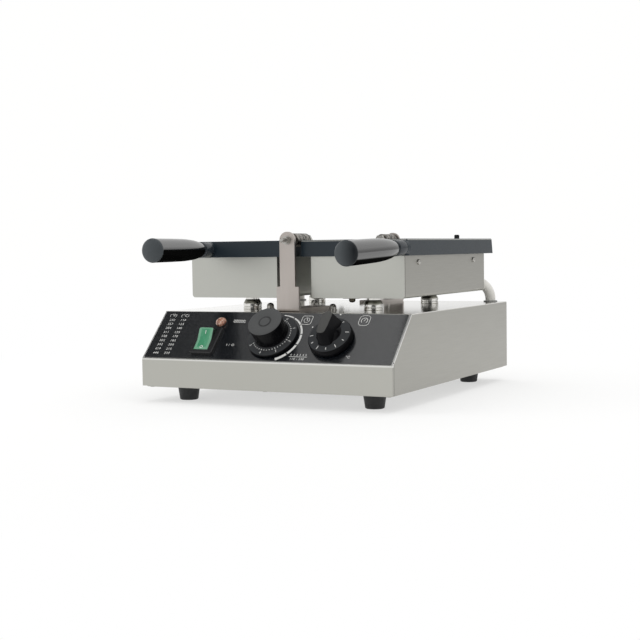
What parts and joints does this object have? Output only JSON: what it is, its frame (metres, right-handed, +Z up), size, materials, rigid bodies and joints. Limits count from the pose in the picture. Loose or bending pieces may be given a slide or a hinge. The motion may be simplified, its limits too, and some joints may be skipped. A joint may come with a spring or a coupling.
{
  "type": "mini cake maker",
  "caption": "Countertop mini cake maker: hinged mould halves that fold like a book over a sloped-front steel base with timer, thermostat and rocker switch",
  "frame": {"origin": "centre of the whole footprint, handles and cord gland included, on the plane the feet rest on", "axes": "+X to the right seen from the front, +Y to the rear, the controls and handles face -Y, +Z up"},
  "size_m": [0.34, 0.4702, 0.2084],
  "materials": {
    "housing_steel": "stainless sheet, deck polished, sides satin",
    "panel_black": "satin black lacquered fascia",
    "casting_dark": "cast aluminium with dark non-stick coat",
    "pan_steel": "satin stainless sheet",
    "bracket_steel": "bare steel bar, slightly warm in tone",
    "lug_metal": "bare cast lugs, darkened by heat",
    "fastener_steel": "zinc plated",
    "post_chrome": "turned and polished",
    "grip_black": "glossy black phenolic",
    "cap_grey": "matte blue-grey",
    "sleeve_white": "milky silicone sleeving",
    "bush_grey": "grey moulded rubber",
    "foot_rubber": "matte black rubber",
    "switch_black": "black moulded plastic",
    "rocker_green": "translucent green plastic",
    "lamp_amber": "amber tinted plastic",
    "knob_black": "glossy black moulded plastic",
    "control_plastic": "moulded control casing",
    "gland_black": "black nylon",
    "copper_bulb": "drawn copper tube",
    "blanket_fibre": "pressed mineral fibre",
    "earth_brass": "bare brass"
  },
  "bodies": {
    "base": {"base_housing": "housing_steel", "bottom_plate": "pan_steel", "control_panel": "panel_black", "cord_gland": "gland_black", "deck_dome_nuts": "fastener_steel", "deck_grommets": "bush_grey", "feet": "foot_rubber", "floor_screws": "fastener_steel", "foot_screws": "fastener_steel", "front_pivot_bolt": "fastener_steel", "rear_pivot_bolt": "fastener_steel", "front_pivot_nut": "fastener_steel", "rear_pivot_nut": "fastener_steel", "front_upright": "bracket_steel", "rear_upright": "bracket_steel", "lamp_body": "switch_black", "lamp_lens": "lamp_amber", "pivot_washers": "fastener_steel", "rest_posts": "post_chrome", "switch_body": "switch_black", "terminal_block": "control_plastic", "thermostat_body": "control_plastic", "timer_body": "control_plastic", "left_lead_sleeve": "sleeve_white", "right_lead_sleeve": "sleeve_white"},
    "left_half": {"left_mould": "casting_dark", "left_hinge_lugs": "lug_metal", "left_pan": "pan_steel", "left_pan_screws": "fastener_steel", "left_heater": "fastener_steel", "left_heater_clamp": "pan_steel", "left_clamp_studs": "fastener_steel", "left_insulation": "blanket_fibre", "left_pan_gland": "bush_grey", "left_earth_strap": "earth_brass", "left_handle_grip": "grip_black", "left_handle_end_cap": "cap_grey", "left_handle_collar": "post_chrome", "left_handle_stud": "fastener_steel"},
    "right_half": {"right_mould": "casting_dark", "right_hinge_lugs": "lug_metal", "right_pan": "pan_steel", "right_pan_screws": "fastener_steel", "right_heater": "fastener_steel", "right_heater_clamp": "pan_steel", "right_clamp_studs": "fastener_steel", "right_insulation": "blanket_fibre", "right_pan_gland": "bush_grey", "right_earth_strap": "earth_brass", "right_handle_grip": "grip_black", "right_handle_end_cap": "cap_grey", "right_handle_collar": "post_chrome", "right_handle_stud": "fastener_steel", "guide_pin": "fastener_steel", "thermostat_bulb": "copper_bulb"},
    "rocker": {"rocker": "rocker_green"},
    "timer": {"timer_knob": "knob_black", "timer_shaft": "fastener_steel"},
    "thermostat": {"thermostat_knob": "knob_black", "thermostat_shaft": "fastener_steel"}
  },
  "joints": [
    {"name": "left_fold", "type": "hinge", "parent": "base", "child": "left_half", "pos_m": [0, 0, 0.198], "axis": [0, 1, 0], "range_deg": [0, 180]},
    {"name": "right_fold", "type": "hinge", "parent": "base", "child": "right_half", "pos_m": [0, 0, 0.198], "axis": [0, 1, 0], "range_deg": [-180, 0]},
    {"name": "rocker_tilt", "type": "hinge", "parent": "base", "child": "rocker", "pos_m": [-0.088, -0.15907, 0.07451], "axis": [1, 0, 0], "range_deg": [-26, 0]},
    {"name": "timer_turn", "type": "hinge", "parent": "base", "child": "timer", "pos_m": [0.003, -0.15235, 0.08052], "axis": [0, -0.7071, 0.7071], "range_deg": [-300, 0]},
    {"name": "thermostat_turn", "type": "hinge", "parent": "base", "child": "thermostat", "pos_m": [0.082, -0.15341, 0.07946], "axis": [0, -0.7071, 0.7071], "range_deg": [-270, 0]}
  ]
}
